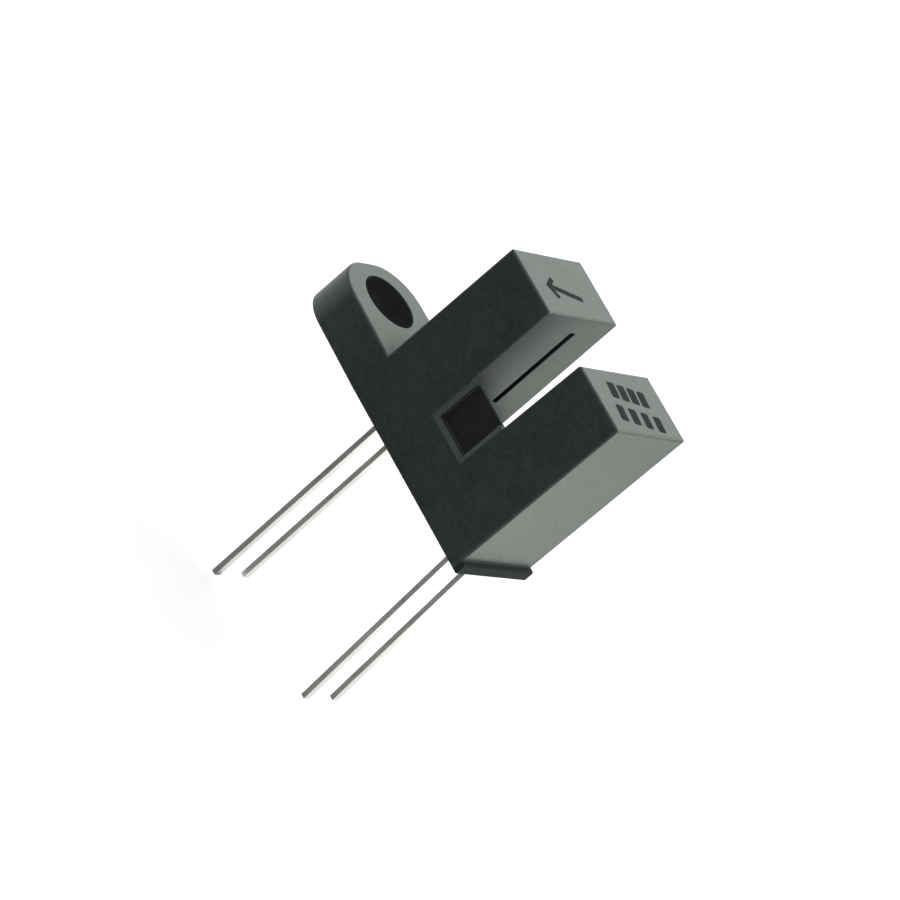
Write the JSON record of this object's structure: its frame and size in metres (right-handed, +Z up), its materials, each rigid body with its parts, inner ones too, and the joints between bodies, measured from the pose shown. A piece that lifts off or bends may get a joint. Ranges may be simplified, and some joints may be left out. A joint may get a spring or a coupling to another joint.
{
  "type": "slotted optical switch",
  "caption": "Moulded U-shaped optical switch: a light beam crosses the slot between its arms, with a screw ear at one end and long thin leads for soldering.",
  "frame": {"origin": "middle of the board face, the flat underside of the base, halfway between the arms", "axes": "+Z up the arms and along the screw hole, +X from the ear to the far end, +Y from the front face with the slot web to the back"},
  "size_m": [0.0181, 0.0064, 0.0253],
  "materials": {
    "housing": "satin black moulding",
    "lead": "tinned wire",
    "clear_epoxy": "cast epoxy",
    "dark_epoxy": "cast epoxy",
    "chip": "polished semiconductor",
    "gold_wire": "drawn wire",
    "potting": "poured epoxy"
  },
  "bodies": {
    "root": {"housing": "housing", "emitter_package": "clear_epoxy", "emitter_die_lead": "lead", "emitter_wire_lead": "lead", "emitter_chip": "chip", "emitter_bond_wire": "gold_wire", "emitter_potting": "potting", "sensor_package": "dark_epoxy", "sensor_die_lead": "lead", "sensor_wire_lead": "lead", "sensor_chip": "chip", "sensor_bond_wire": "gold_wire", "sensor_potting": "potting"}
  },
  "joints": []
}
